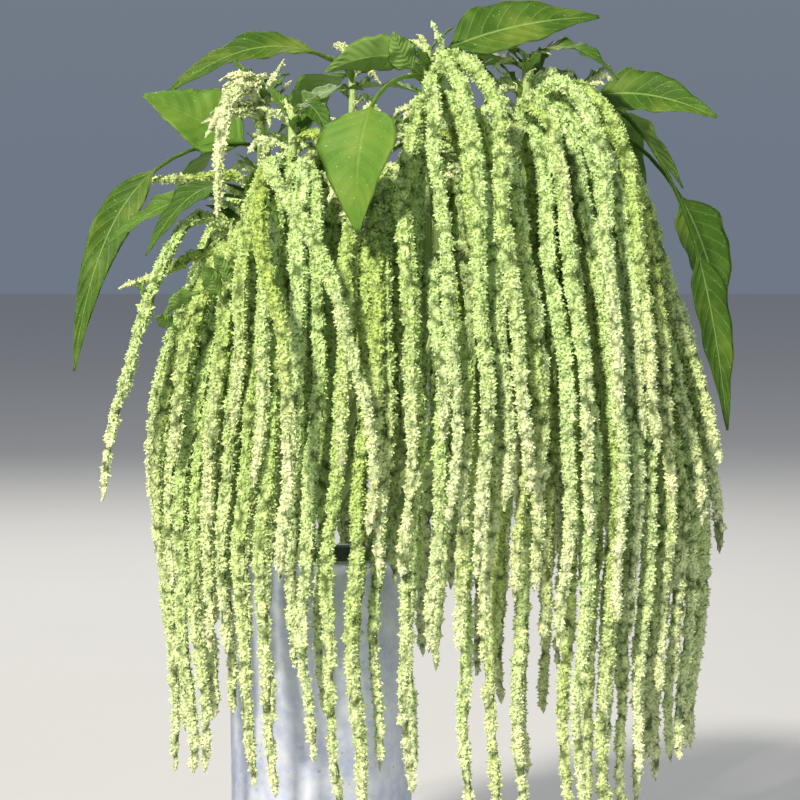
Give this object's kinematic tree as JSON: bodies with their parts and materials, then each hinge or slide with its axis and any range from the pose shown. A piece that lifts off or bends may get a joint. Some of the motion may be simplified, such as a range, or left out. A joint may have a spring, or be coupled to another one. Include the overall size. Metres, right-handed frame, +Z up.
{
  "type": "potted love-lies-bleeding",
  "caption": "Green love-lies-bleeding plants in a straight-sided zinc bucket, with long lime tassels hanging all round and pointed leaves above them.",
  "frame": {"origin": "middle of the bucket's flat foot, on the ground", "axes": "+Z up along the bucket and the stems, -Y towards the front of the curtain of tassels, +X to the viewer's right"},
  "size_m": [0.5239, 0.4283, 0.733],
  "materials": {
    "zinc": "satin spangled zinc",
    "compost": "matte",
    "leaf_green": "satin",
    "lime_flowers": "matte"
  },
  "bodies": {
    "root": {"bucket": "zinc", "soil": "compost", "stem_front_left": "leaf_green", "stem_front_mid": "leaf_green", "stem_front": "leaf_green", "stem_front_right": "leaf_green", "stem_right_front": "leaf_green", "stem_right_back": "leaf_green", "stem_back_right": "leaf_green", "stem_back": "leaf_green", "stem_back_left": "leaf_green", "stem_left_back": "leaf_green", "stem_left_front": "leaf_green", "stem_young": "leaf_green", "spray_front_left": "lime_flowers", "spray_front_mid": "lime_flowers", "spray_front": "lime_flowers", "spray_front_low": "lime_flowers", "spray_front_right": "lime_flowers", "spray_right_front": "lime_flowers", "spray_right_back": "lime_flowers", "spray_back_right": "lime_flowers", "spray_back": "lime_flowers", "spray_back_left": "lime_flowers", "spray_left_back": "lime_flowers", "spray_left_front": "lime_flowers", "spray_young": "lime_flowers"}
  },
  "joints": []
}
